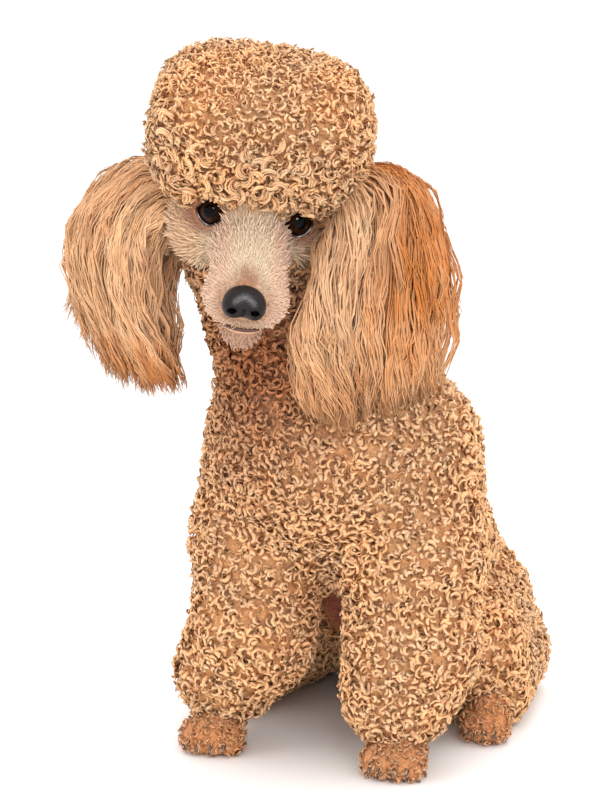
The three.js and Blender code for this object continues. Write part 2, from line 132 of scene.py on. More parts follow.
def rod(a, ra, b, rb):
    """A round bar from a to b that tapers from one radius to the other."""
    a, b = np.array(a, float), np.array(b, float)
    along = b - a

    def distance(p):
        h = np.clip((p - a) @ along / (along @ along), 0, 1)
        return np.linalg.norm(p - a - h[:, None] * along, axis=1) - ra - (rb - ra) * h

    return distance


def egg(at, half, power=2):
    """An ellipsoid by its half sizes, squarer for a power over 2."""
    at, half = np.array(at, float), np.array(half, float)

    def distance(p):
        q = p - at
        reach = np.maximum((np.abs(q / half) ** power).sum(1) ** (1 / power), 1e-3)
        return np.linalg.norm(q, axis=1) * (1 - 1 / reach)

    return distance


def blend(forms, soft):
    """Several forms as one, with rounded joins of the given size."""
    def distance(p):
        near = forms[0](p)
        for form in forms[1:]:
            d = form(p)
            h = np.maximum(soft - np.abs(near - d), 0) / soft
            near = np.minimum(near, d) - h * h * soft / 4
        return near

    return distance


def raised(form, lift):
    """A form grown outwards, or shrunk for a lift under 0."""
    return lambda p: form(p) - lift


def slope(form, p, step=0.5):
    """How a form's distance grows along X, Y and Z at each point."""
    out = np.empty_like(p)
    for axis in range(3):
        shift = np.zeros(3)
        shift[axis] = step
        out[:, axis] = (form(p + shift) - form(p - shift)) / (2 * step)
    return out


def shoulder_rods(side):
    """The upper arm, from the shoulder to the elbow, and the forearm below it."""
    stance = STANCE[side]
    (ex, ey), (lx, ly), wide = stance["elbow"], stance["leg"], stance["wide"]
    return [
        rod((ex * 0.8, -130, 206), wide + 4, (ex, ey, 140), wide),
        rod((ex, ey, 140), wide, (lx, ly, 80), wide - 5),
    ]


def foreleg_form(side):
    """A foreleg down to the cuff of hair over its paw."""
    stance = STANCE[side]
    (px, py), (lx, ly), wide = stance["paw"], stance["leg"], stance["wide"]
    cuff = rod((lx, ly, 80), wide - 5, (px * 0.94, py + 14, 52), wide - 9)
    return blend([*shoulder_rods(side), cuff], 12)


def thigh_form(s):
    """A folded hind leg on one side: thigh, lower leg and foot."""
    return blend(
        [
            rod((s * 50, 4, 64), 33, (s * 72, -72, 56), 23),
            rod((s * 72, -72, 56), 23, (s * 74, 12, 30), 17),
            rod((s * 74, 12, 30), 17, (s * 88, -66, 22), 12),
        ],
        14,
    )


def toe_at(paw, k):
    """The middle of a toe, for k from -1 to 1 across the paw."""
    (x, y), wide, long = paw
    return np.array([x + k * wide, y - long * (0.58 - 0.35 * k * k), 10])


def paw_form(paw):
    (x, y), wide, long = paw
    toes = [egg(toe_at(paw, k), (wide * 0.36, long * 0.5, 10)) for k in TOES]
    return blend([egg((x, y + 2, 14), (wide * 0.92, long * 0.85, 17)), *toes], 2.5)


TRUNK = blend(
    [
        rod((0, -148, 212), 54, (0, -95, 172), 60),
        rod((0, -95, 172), 60, (0, -35, 116), 54),
        rod((0, -35, 116), 54, (0, 8, 76), SEAT),
        shoulder_rods("left")[0],
        shoulder_rods("right")[0],
        rod((0, -136, 212), 56, (-18, -140, 290), 42),
        rod((-18, -140, 290), 42, (-45, -156, 354), 38),
    ],
    20,
)
TAIL = blend([rod((0, 78, 24), 12, (12, 130, 21), 11), egg((19, 156, 26), (22, 22, 20))], 8)
FOREPAWS = [(stance["paw"], 18, 20) for stance in STANCE.values()]
HINDPAWS = [((s * HINDPAW[0], HINDPAW[1]), 13, 16) for s in SIDES.values()]
PAWS = FOREPAWS + HINDPAWS

# The head's forms, in its own frame
FACE = blend(
    [
        egg((0, 42, 12), (38, 52, 34)),
        egg((20, 6, 14), (14, 12, 11)),
        egg((-20, 6, 14), (14, 12, 11)),
        egg((33, 16, 2), (11, 14, 14)),
        egg((-33, 16, 2), (11, 14, 14)),
        egg((30, 32, -16), (22, 32, 26)),
        egg((-30, 32, -16), (22, 32, 26)),
        rod((0, -2, -14), 23, (0, -48, -26), 20),
        egg((12, -42, -36), (12.5, 22, 13)),
        egg((-12, -42, -36), (12.5, 22, 13)),
        rod((0, 30, -40), 20, (0, -46, -55), 10),
    ],
    8,
)
TOPKNOT = blend([egg((-2, 42, 46), (75, 66, 52), 2.9), egg((-2, 68, 14), (58, 42, 52), 2.3)], 16)


def in_head(form):
    """A form of the head's own frame, placed in the part's frame."""
    return lambda p: form(to_head(p))


def eye_centre(s):
    """The middle of an eyeball, in the head's frame."""
    back, up = EYE["at"]
    return np.array([s * EYE["apart"] / 2, back, up])


def eye_turn(s):
    """The rotation from an eye's own frame to the head's."""
    return turned(-EYE["upward"], 0, s * EYE["outward"])


def almond(q):
    """Distance from the opening between the lids, in an eye's own frame."""
    wide, high = EYE["opening"][0] / 2, EYE["opening"][1] / 2
    edge = high * (1 - (q[:, 0] / wide) ** 2)
    return (np.abs(q[:, 2]) - edge) / np.sqrt(1 + (2 * high * q[:, 0] / wide**2) ** 2)


def lidded(form):
    """A head's form with a lid over each eyeball, open in front."""
    soft, deep, gap = 4, 9, 0.2  # the lid's join with the face, the opening's depth, the ball's clearance

    def distance(p):
        d = form(p)
        for s in SIDES.values():
            q = (p - eye_centre(s)) @ eye_turn(s)
            away = np.linalg.norm(q, axis=1) - EYE["radius"]
            lid = away - EYE["lid"]
            h = np.maximum(soft - np.abs(d - lid), 0) / soft
            d = np.minimum(d, lid) - h * h * soft / 4
            opening = np.maximum(np.maximum(almond(q), q[:, 1]), away - deep)
            d = np.maximum(d, -opening)
            d = np.maximum(d, gap - away)
        return d

    return distance


def shell(form, low, high, cell):
    """A closed skin round a form, as points and quads, found on a grid of cells."""
    axes = [np.arange(a, b + cell, cell) for a, b in zip(low, high)]
    grid = np.stack(np.meshgrid(*axes, indexing="ij"), -1).reshape(-1, 3)
    inside = np.concatenate([form(part) < 0 for part in np.array_split(grid, 40)])
    inside = inside.reshape([len(a) for a in axes])
    count = np.zeros([n - 1 for n in inside.shape], int)
    for corner in np.ndindex(2, 2, 2):
        count += inside[tuple(slice(c, n - 1 + c) for c, n in zip(corner, inside.shape))]
    crossed = (count > 0) & (count < 8)
    number = np.full(count.shape, -1)
    number[crossed] = np.arange(crossed.sum())
    points = np.array(low) + (np.argwhere(crossed) + 0.5) * cell
    quads = []
    for axis in range(3):
        u, w = (axis + 1) % 3, (axis + 2) % 3
        here = np.take(inside, range(inside.shape[axis] - 1), axis)
        there = np.take(inside, range(1, inside.shape[axis]), axis)
        edges = np.argwhere(here != there)
        fits = [(edges[:, k] > 0) & (edges[:, k] < inside.shape[k] - 1) for k in (u, w)]
        edges = edges[fits[0] & fits[1]]
        ring = []
        for du, dw in ((0, 0), (-1, 0), (-1, -1), (0, -1)):
            cells = edges.copy()
            cells[:, u] += du
            cells[:, w] += dw
            ring.append(number[tuple(cells.T)])
        quad = np.stack(ring, 1)
        leaving = here[tuple(edges.T)]
        quad[~leaving] = quad[~leaving][:, ::-1]
        quads.append(quad)
    for _ in range(4):
        rise = slope(form, points)
        step = form(points)[:, None] * rise / np.maximum((rise**2).sum(1, keepdims=True), 0.2)
        points = points - np.clip(step, -cell, cell)
    return points, np.concatenate(quads)


def joined(shells):
    """Several shells as one."""
    points, quads, start = [], [], 0
    for p, q in shells:
        points.append(p)
        quads.append(q + start)
        start += len(p)
    return np.concatenate(points), np.concatenate(quads)


# Meshes and materials


def new_mesh(name, points, faces, tone, uv=None):
    """A piece from points in millimetres, face arrays of 3 or 4 corners, and a colour for each point."""
    mesh = bpy.data.meshes.new(name)
    corners = np.concatenate([f.ravel() for f in faces])
    counts = np.concatenate([np.full(len(f), f.shape[1]) for f in faces])
    mesh.vertices.add(len(points))
    mesh.vertices.foreach_set("co", (points * MM).astype(np.float32).ravel())
    mesh.loops.add(len(corners))
    mesh.loops.foreach_set("vertex_index", corners.astype(np.int32))
    mesh.polygons.add(len(counts))
    mesh.polygons.foreach_set("loop_start", (np.cumsum(counts) - counts).astype(np.int32))
    mesh.polygons.foreach_set("use_smooth", np.full(len(counts), True))
    if uv is not None:
        layer = mesh.uv_layers.new(name="OFBake")
        layer.data.foreach_set("uv", uv[corners].astype(np.float32).ravel())
    attribute = mesh.color_attributes.new("tone", "FLOAT_COLOR", "POINT")
    rgba = np.concatenate([tone, np.ones((len(points), 1))], 1)
    attribute.data.foreach_set("color", rgba.astype(np.float32).ravel())
    mesh.update(calc_edges=True)
    piece = bpy.data.objects.new(name, mesh)
    bpy.context.scene.collection.objects.link(piece)
    return piece


def speckle(tree, vector, scale, share, detail=3):
    """A factor that varies round 1 by the given share, as noise over a vector, and the noise itself."""
    noise = tree.nodes.new("ShaderNodeTexNoise")
    noise.inputs["Scale"].default_value = scale
    noise.inputs["Detail"].default_value = detail
    tree.links.new(vector, noise.inputs["Vector"])
    spread = tree.nodes.new("ShaderNodeMapRange")
    spread.inputs["From Min"].default_value = 0.3
    spread.inputs["From Max"].default_value = 0.7
    spread.inputs["To Min"].default_value = 1 - share
    spread.inputs["To Max"].default_value = 1 + share
    tree.links.new(noise.outputs["Fac"], spread.inputs["Value"])
    return spread.outputs["Result"], noise.outputs["Fac"]


def scaled(tree, colour_socket, factor_socket):
    """A colour times a factor."""
    vary = tree.nodes.new("ShaderNodeVectorMath")
    vary.operation = "SCALE"
    tree.links.new(colour_socket, vary.inputs[0])
    tree.links.new(factor_socket, vary.inputs["Scale"])
    return vary.outputs["Vector"]


STREAKS = (1.6, 4.5, 7.31)  # streaks along a strand, across it, and a shift from one strand to the next
STREAK_BUMP = 0.6  # strength of the bump that streaks make


def material(
    name, roughness, noise_size, noise_share, bump=0.0, bump_size=0.001, streak=0.0, relief=0.001, **sockets
):
    """Colour from the mesh's own tone, varied by noise and streaks along its strands, with a fine bump.

    Sizes are in metres. bump is the strength of a bump of noise, streak the share by which streaks vary
    the colour, relief the height of either's bump, and sockets are further values of the shader.
    """
    made = bpy.data.materials.new(name)
    made.use_nodes = True
    tree = made.node_tree
    shader = tree.nodes["Principled BSDF"]
    shader.inputs["Roughness"].default_value = roughness
    for socket, value in sockets.items():
        shader.inputs[socket.replace("_", " ")].default_value = value
    tone = tree.nodes.new("ShaderNodeAttribute")
    tone.attribute_name = "tone"
    place = tree.nodes.new("ShaderNodeTexCoord").outputs["Object"]
    factor, _ = speckle(tree, place, 1 / noise_size, noise_share)
    base = scaled(tree, tone.outputs["Color"], factor)
    height = None
    if bump:
        _, height = speckle(tree, place, 1 / bump_size, 0, detail=4)
    if streak:
        lie = tree.nodes.new("ShaderNodeAttribute")
        lie.attribute_name = "lie"
        stretch = tree.nodes.new("ShaderNodeVectorMath")
        stretch.operation = "MULTIPLY"
        stretch.inputs[1].default_value = STREAKS
        tree.links.new(lie.outputs["Vector"], stretch.inputs[0])
        factor, height = speckle(tree, stretch.outputs["Vector"], 1, streak, detail=2)
        base = scaled(tree, base, factor)
    tree.links.new(base, shader.inputs["Base Color"])
    if height is not None:
        rough = tree.nodes.new("ShaderNodeBump")
        rough.inputs["Strength"].default_value = bump or STREAK_BUMP
        rough.inputs["Distance"].default_value = relief
        tree.links.new(height, rough.inputs["Height"])
        tree.links.new(rough.outputs["Normal"], shader.inputs["Normal"])
    return made


def place_piece(piece, look, slot, *nodes):
    """Gives a piece its material, hangs it on the root and hides the solids that it stands for; its slot is
    not used.
    """
    piece.data.materials.append(look)
    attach(piece, "root")
    if nodes:
        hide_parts(*nodes)


PATCH = 0.003  # size of a strand's patch on the unwrap
FLAT = 0.36  # a strand's thickness against its width
LOWEST = 0.3  # height over the floor that strands keep
MOST_FACES = 190000  # triangles that a coat piece may have


def strand_mesh(name, lines, radii, tones, patches, facing):
    """Solid three-sided strands, each ending in a point, with their flat side facing a given way.

    lines holds the points along each strand, radii and tones belong to them, and patches is each
    strand's place on the unwrap.
    """
    strands, steps, _ = lines.shape
    along = unit(np.gradient(lines, axis=1))
    side = unit(np.cross(along[:, -1], facing))
    turns = np.array([0.5, 7 / 6, 11 / 6]) * np.pi
    across = np.array([0.0, -1.0, 1.0])
    rings = np.empty((strands, steps - 1, 3, 3))
    for k in reversed(range(steps - 1)):
        way = along[:, k]
        side = unit(side - (side * way).sum(1, keepdims=True) * way)
        other = np.cross(side, way)
        spokes = side[:, None] * np.cos(turns)[:, None] + other[:, None] * FLAT * np.sin(turns)[:, None]
        rings[:, k] = lines[:, k, None] + radii[:, k, None, None] * spokes
    tip = 3 * (steps - 1)
    points = np.concatenate([rings.reshape(strands, -1, 3), lines[:, -1:]], 1)
    points[..., 2] = np.maximum(points[..., 2], LOWEST)
    k, j = np.meshgrid(np.arange(steps - 2), np.arange(3), indexing="ij")
    after = (j + 1) % 3
    quads = np.stack([3 * k + j, 3 * k + 3 + j, 3 * k + 3 + after, 3 * k + after], -1).reshape(-1, 4)
    last = tip - 3
    caps = np.array([[last + 1, last, tip], [last + 2, last + 1, tip], [last, last + 2, tip], [0, 1, 2]])
    first = (np.arange(strands) * (tip + 1))[:, None, None]
    quads = (quads + first).reshape(-1, 4)
    caps = (caps + first).reshape(-1, 3)
    place = np.stack(
        [
            np.append(np.repeat(np.linspace(0, 1, steps)[:-1], 3), 1),
            np.append(np.tile(across, steps - 1), 0),
        ],
        1,
    )
    spot = (place - [0.5, 0]) * [PATCH, PATCH / 2]
    uv = (patches[:, None] + spot).reshape(-1, 2)
    tone = np.concatenate([np.repeat(tones[:, :-1], 3, axis=1), tones[:, -1:]], 1)
    piece = new_mesh(name, points.reshape(-1, 3), [quads, caps], tone.reshape(-1, 3), uv)
    lie = np.empty((strands, tip + 1, 3))
    lie[..., :2] = place
    lie[..., 2] = np.arange(strands)[:, None]
    fibres = piece.data.attributes.new("lie", "FLOAT_VECTOR", "POINT")
    fibres.data.foreach_set("vector", lie.astype(np.float32).ravel())
    return piece


def coat_pieces(name, look, slot, lines, radii, tones, patches, facing):
    """Strands joined in pieces, each under the size that one may have."""
    faces = 6 * (lines.shape[1] - 2) + 4
    count = math.ceil(len(lines) / (MOST_FACES // faces))
    for i, part in enumerate(np.array_split(np.arange(len(lines)), count)):
        label = name if count == 1 else f"{name}_{i + 1}"
        piece = strand_mesh(label, lines[part], radii[part], tones[part], patches[part], facing[part])
        place_piece(piece, look, slot)
    print(name, len(lines), "strands", len(lines) * faces, "triangles")


TRIES = 3  # places tried over a shell for each square of the spacing


def scatter(skin, spacing, random, keep):
    """Places spread over the kept faces of a shell, none nearer to another than the spacing."""
    points, quads = skin
    c = points[quads]
    half_a = np.linalg.norm(np.cross(c[:, 1] - c[:, 0], c[:, 2] - c[:, 0]), axis=1)
    half_b = np.linalg.norm(np.cross(c[:, 2] - c[:, 0], c[:, 3] - c[:, 0]), axis=1)
    area = (half_a + half_b) / 2 * keep(c.mean(1))
    wanted = int(area.sum() / spacing**2 * TRIES)
    pick = random.choice(len(quads), wanted, p=area / area.sum())
    s, t = random.random((2, wanted, 1))
    c = c[pick]
    places = (c[:, 0] * (1 - s) + c[:, 1] * s) * (1 - t) + (c[:, 3] * (1 - s) + c[:, 2] * s) * t
    cells = {}
    kept = []
    for i, (cell, place) in enumerate(zip(map(tuple, np.floor(places / spacing).astype(int)), places)):
        around = [
            other
            for dx in (-1, 0, 1)
            for dy in (-1, 0, 1)
            for dz in (-1, 0, 1)
            for other in cells.get((cell[0] + dx, cell[1] + dy, cell[2] + dz), ())
        ]
        if not around or ((np.array(around) - place) ** 2).sum(1).min() > spacing**2:
            cells.setdefault(cell, []).append(place)
            kept.append(i)
    return places[kept]


def framed(across, along, margin):
    """Places on the unwrap, from two values between 0 and 1 and a margin at its edge."""
    return margin + (1 - 2 * margin) * np.stack([across, along], 1)


def unwrapped(points, bottom, top):
    """Each point's place on a skin unrolled round the line from bottom to top."""
    bottom, top = np.array(bottom, float), np.array(top, float)
    length = np.linalg.norm(top - bottom)
    axis = (top - bottom) / length
    front = unit(np.cross(axis, np.array([1.0, 0.02, 0.01])))
    side = np.cross(front, axis)
    q = points - bottom
    turn = np.arctan2(q @ side, q @ front) / (2 * np.pi) + 0.5
    reach = np.hypot(q @ side, q @ front)
    height = q @ axis
    lean = np.arctan2(height - length / 2, reach + length / 4) / np.pi + 0.5
    return framed(turn, lean, 0.01)


# Colours
TIP = colour("EAC8A1")
MIDDLE = colour("DEAE81")
ROOT = colour("C98651")
GROUND = colour("D79E6A")
CREAM = colour("E2C9A8")
EAR_LIGHT = colour("E0B286")
EAR_DARK = colour("C47C40")
RUST = colour("8E4A22")
PINK = colour("DFA088")
SMUDGE = colour("A8714F")
# painted shade: the darker, redder coat on the chest and throat under the head
THROAT_SHADE = colour("9A5A36")
BELLY = colour("A65A44")
PUPIL = colour("030202")
IRIS = colour("2C160A")
IRIS_EDGE = colour("100805")
EYE_CORNER = colour("2A1810")
LID_RIM = colour("3A221A")
NOSE_TONE = colour("1A1414")
LIP_TONE = colour("5A3428")
LOWER_LIP = colour("C99A80")
CLAW_TONE = colour("4A3A30")
PAW_SHADE = np.array([0.9, 0.75, 0.66])  # paws are redder and darker than the coat
WARM = np.array([1.0, 0.88, 0.72])  # the coat's spots are more orange
PALEST = 0.93  # the coat is never lighter

patchy = waves(3, 90)
dappled = waves(4, 22)


def warmth(p):
    """How far the coat turns to orange at a place, as a factor on its colour."""
    share = smooth(0.45 + 0.4 * patchy(p) + 0.4 * dappled(p))[..., None]
    return 1 + 0.7 * share * (WARM - 1)


def throat_shade(p):
    """How deep in the shade under the head a place is; there the coat is painted darker and redder, as
    painted shade.
    """
    return np.exp(-((np.linalg.norm((p - [-34, -208, 274]) / [66, 60, 70], axis=-1)) ** 2))


def belly(p):
    """Bare skin between the forelegs."""
    return np.exp(-((np.linalg.norm((p - [4, -92, 92]) / [26, 60, 44], axis=-1)) ** 6))


def coat_tones(lines, contrast, light, random):
    """Darker at the roots, pale at the tips, each curl a little lighter or darker than the next, and
    painted shade, darker and redder, on the chest under the head.

    contrast goes from 0 to 1, and light is a factor on the whole.
    """
    strands, steps, _ = lines.shape
    ends = np.linspace(0, 1, steps)
    shade = mix(MIDDLE, ROOT, contrast * (1 - smooth(ends / 0.6)))
    tone = mix(shade, TIP, contrast * smooth((ends - 0.35) / 0.5))
    ground = lines[:, 0]
    own = random.normal(0, 1, strands)
    bright = light * (1 + 0.09 * own + 0.06 * patchy(ground) + 0.04 * dappled(ground))
    tone = tone[None] * (np.clip(bright, 0.6, 1.35)[:, None] * warmth(ground))[:, None]
    # painted shade under the head, darker and redder
    painted_shade = 0.95 * throat_shade(ground)[:, None, None]
    return np.clip(tone * (1 - painted_shade) + tone * THROAT_SHADE / MIDDLE * painted_shade, 0, PALEST)


def curls(roots, out, size, height, turns, steps, random, per=1):
    """Centrelines of curls: each is a bundle of strands that rise from a root and wind into a ring."""
    count = len(roots)
    tilt, droop = 0.4, 0.15

    def each(a):
        return np.repeat(a, per, axis=0)

    way = unit(out - np.array([0, 0, droop]) + tilt * random.normal(size=(count, 3)))
    across = unit(np.cross(way, random.normal(size=(count, 3))))
    along = each(np.cross(way, across))
    start = each(random.uniform(0, 2 * np.pi, count)) + random.normal(0, 0.12, count * per)
    hand = each(random.choice([-1.0, 1.0], count))
    place = np.tile(np.linspace(-1, 1, per) if per > 1 else np.zeros(1), count)
    size = each(size * random.uniform(0.7, 1.35, count)) * (1 + 0.28 * place)
    height = each(height * random.uniform(0.86, 1.1, count)) * (1 - 0.08 * place**2)
    turns = each(turns * random.uniform(0.7, 1.3, count))
    s = np.linspace(0, 1, steps) ** 0.85
    turn = start[:, None] + hand[:, None] * 2 * np.pi * turns[:, None] * s
    reach = size[:, None] * smooth(s / 0.5) * (1 - 0.3 * s * s)
    rise = height[:, None] * (1 - (1 - s) ** 1.9)
    base = each(roots - out * 3) + random.normal(0, 0.4, (count * per, 3))
    return (
        base[:, None]
        + each(way)[:, None] * rise[..., None]
        + each(across)[:, None] * (reach * np.cos(turn))[..., None]
        + along[:, None] * (reach * np.sin(turn))[..., None]
    )


def radii_for(lines, thick, random):
    """Half widths along each strand, widest past its middle."""
    strands, steps, _ = lines.shape
    s = np.linspace(0, 1, steps)
    profile = 0.45 + 0.55 * np.sin(np.pi * s**1.2) - 0.1 * s
    return thick * random.uniform(0.7, 1.3, (strands, 1)) * profile


# The skin

# How far it lies outside each core form
LIFT = {"trunk": 15, "leg": 15, "thigh": 12, "tail": 4, "topknot": -9, "face": 1.5, "paw": 1.0}
# Each part's form, and the line that its coat is unrolled round
BODY_PARTS = {
    "torso": (raised(TRUNK, LIFT["trunk"]), (0, 20, 20), (0, -120, 240)),
    "foreleg_left": (raised(foreleg_form("left"), LIFT["leg"]), (60, -180, 20), (50, -140, 190)),
    "foreleg_right": (raised(foreleg_form("right"), LIFT["leg"]), (-66, -172, 20), (-46, -140, 190)),
    "hindleg_left": (raised(thigh_form(1), LIFT["thigh"]), (84, -70, 30), (60, 10, 60)),
    "hindleg_right": (raised(thigh_form(-1), LIFT["thigh"]), (-84, -70, 30), (-60, 10, 60)),
    "tail": (raised(TAIL, LIFT["tail"]), (0, 80, 22), (18, 160, 24)),
    "topknot": (raised(in_head(TOPKNOT), LIFT["topknot"]), from_head((0, 42, 0)), from_head((0, 42, 90))),
}
NAMES = list(BODY_PARTS)
BODY = blend([form for form, _, _ in BODY_PARTS.values()], 6)
HEAD_SKIN = in_head(lidded(raised(FACE, LIFT["face"])))
PAW_SKIN = blend([raised(paw_form(paw), LIFT["paw"]) for paw in PAWS], 1)


def above_floor(form):
    """A form cut off 1 mm over the floor."""
    return lambda p: np.maximum(form(p), 1.0 - p[:, 2])


def part_of(p):
    """Which part of the body each place belongs to, as a number in the order of NAMES."""
    return np.argmin([form(p) for form, _, _ in BODY_PARTS.values()], axis=0)


body_shell = shell(above_floor(BODY), (-150, -290, -6), (150, 200, 480), 3.5)
head_shell = shell(HEAD_SKIN, HEAD_AT - 95, HEAD_AT + np.array([80, 105, 65]), 1.35)
paw_shell = shell(above_floor(PAW_SKIN), (-125, -220, -3), (125, -70, 40), 1.6)

CURLS = material("coat_curls", 0.8, 0.012, 0.06, streak=0.2, relief=0.0003, Specular_IOR_Level=0.2)
SKIN = material("undercoat", 0.9, 0.0025, 0.3, bump=1.0, bump_size=0.0025, relief=0.003)
HAIR = material("ear_hair", 0.6, 0.015, 0.06, streak=0.24, relief=0.0003, Specular_IOR_Level=0.3)
FUR = material("face_hair", 0.7, 0.01, 0.05, Sheen_Weight=0.2, Sheen_Roughness=0.5)
EYEBALL = material("eye", 0.04, 0.002, 0.1, Specular_IOR_Level=0.09)
RIM = material("eye_rim", 0.35, 0.003, 0.1)
LEATHER = material("nose", 0.38, 0.004, 0.1, bump=0.3, bump_size=0.0011, Specular_IOR_Level=0.2)
LIP = material("lips", 0.45, 0.003, 0.1)
CLAW = material("claw", 0.3, 0.004, 0.1)


def skin_tones(points):
    """The colours of the hair over it, so that no bare place shows between the curls, with painted shade
    under the head.
    """
    # painted shade under the head
    tone = mix(GROUND * warmth(points), THROAT_SHADE, 0.8 * throat_shade(points))
    tone = mix(tone, BELLY, belly(points))
    near_face = HEAD_SKIN(points) < 1.5
    tone[near_face] = face_tones(to_head(points[near_face])) * 0.9
    near_paw = PAW_SKIN(points) < 1.0
    tone[near_paw] *= PAW_SHADE
    return tone


def build_skin():
    """One skin in place of the flesh of body, head and paws."""
    points, quads = joined([body_shell, head_shell, paw_shell])
    skin = new_mesh("skin", points, [quads], skin_tones(points))
    flesh = [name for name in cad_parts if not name.startswith(("eye", "nose", "ear"))]
    place_piece(skin, SKIN, "coat", *flesh)


# Curls, with their rings' radius, height over the skin and half width in millimetres, the points along a
# strand, the strands in a curl where it is a bundle, and the way that their colour goes
CROWN = {"size": 2.4, "height": 10.5, "steps": 7, "radius": 1.35, "contrast": 0.3, "light": 1.06}
BROW = {"size": 4.2, "height": 12.5, "steps": 9, "radius": 1.0, "contrast": 0.5, "light": 1.08, "per": 5}
FLEECE = {"size": 3.0, "height": 9.5, "steps": 7, "radius": 1.85, "contrast": 0.4, "light": 1.03}
SPACING = {"crown": 2.1, "brow": 4.4, "fleece": 2.65, "face": 1.3, "paw": 2.2}


def curly(p):
    """Where curls grow: not on the face, the paws, the bare belly, the eyes or against the floor."""
    clear = (HEAD_SKIN(p) > -3) & (PAW_SKIN(p) > -2) & (belly(p) < 0.3) & (p[:, 2] > 3)
    for s in SIDES.values():
        clear &= np.linalg.norm(to_head(p) - eye_centre(s) - [0, -4, 0], axis=1) > 17
    return clear


def crowned(p):
    """Where curls grow on the topknot."""
    return curly(p) & (part_of(p) == NAMES.index("topknot"))


def build_curls():
    """Small flat curls all over the body, finer ones on the crown, bolder ones above the brow."""
    random = np.random.default_rng(21)
    roots = scatter(body_shell, SPACING["crown"], random, crowned)
    place_curls("topknot", "topknot", roots[curly(roots)], random, **CROWN)
    roots = scatter(body_shell, SPACING["brow"], random, crowned)
    local = to_head(roots)
    front = smooth((66 - local[:, 2]) / 30) * smooth((70 - local[:, 1]) / 40)
    roots = roots[curly(roots) & (random.random(len(roots)) < front)]
    place_curls("brow", "topknot", roots, random, **BROW)
    roots = scatter(body_shell, SPACING["fleece"], random, curly)
    roots = roots[curly(roots)]
    parts = part_of(roots)
    for number, name in enumerate(NAMES):
        if name != "topknot":
            mine = roots[parts == number]
            size = FLEECE["size"] * (1 + 0.25 * patchy(mine))
            place_curls(name, name, mine, random, **{**FLEECE, "size": size})


def place_curls(label, part, roots, random, size, height, steps, radius, contrast, light, per=1):
    """Curls on a part of the body, in pieces named after the label."""
    out = unit(slope(BODY, roots, 2.0))
    lines = curls(roots, out, size, height, 0.85, steps, random, per)
    tones = coat_tones(lines, contrast, light, random)
    _, bottom, top = BODY_PARTS[part]
    patches = np.repeat(unwrapped(roots, bottom, top), per, 0)
    facing = np.repeat(out, per, 0)
    radii = radii_for(lines, radius, random)
    coat_pieces("curls_" + label, CURLS, "coat", lines, radii, tones, patches, facing)


# The ears

LOCKS, HAIRS, HAIR_STEPS = 400, 9, 10  # locks on an ear, strands in a lock, points along a strand
EAR_LENGTH = 150
# Four lines down each ear, from its front edge to its back, each of four places from skull to tips
EARS = {
    "right": np.array([
        [(-62, -190, 366), (-92, -194, 352), (-98, -196, 306), (-88, -192, 250)],
        [(-62, -180, 372), (-108, -184, 370), (-130, -184, 322), (-118, -180, 246)],
        [(-62, -170, 376), (-118, -172, 380), (-158, -172, 336), (-146, -172, 254)],
        [(-62, -162, 376), (-124, -162, 380), (-170, -162, 350), (-180, -162, 288)],
    ], float),
    "left": np.array([
        [(-14, -180, 352), (26, -196, 352), (2, -224, 304), (8, -228, 250)],
        [(-12, -172, 358), (34, -188, 376), (28, -214, 312), (34, -218, 240)],
        [(-12, -158, 362), (44, -172, 384), (62, -182, 322), (60, -188, 250)],
        [(-12, -148, 362), (46, -156, 380), (80, -156, 330), (80, -160, 256)],
    ], float),
}


def spline(points, t):
    """Places at t, from 0 to 1, on smooth curves through rows of four points."""
    before, beyond = 2 * points[:, :1] - points[:, 1:2], 2 * points[:, -1:] - points[:, -2:-1]
    line = np.concatenate([before, points, beyond], 1)
    step = np.clip(np.floor(3 * t), 0, 2).astype(int)
    u = (3 * t - step)[:, None]
    row = np.arange(len(points))
    a, b, c, d = (line[row, step + k] for k in range(4))
    return 0.5 * (2 * b + (c - a) * u + (2 * a - 5 * b + 4 * c - d) * u**2 + (3 * b - a - 3 * c + d) * u**3)


def ear_lie(guides, across, down):
    """Places on an ear: from 0 to 1 from its front edge to its back, and from the skull to the tips."""
    flat_down = down.ravel()
    rows = np.stack([spline(np.repeat(guide[None], flat_down.size, 0), flat_down) for guide in guides], 1)
    return spline(rows, across.ravel()).reshape(*down.shape, 3)


def ear_facing(guides, across, down):
    """The way that an ear's flat side faces."""
    step = 0.04
    left, right = np.maximum(across - step, 0), np.minimum(across + step, 1)
    above, below = np.maximum(down - step, 0), np.minimum(down + step, 1)
    wide = ear_lie(guides, right, down) - ear_lie(guides, left, down)
    long = ear_lie(guides, across, below) - ear_lie(guides, across, above)
    return unit(np.cross(wide, long))


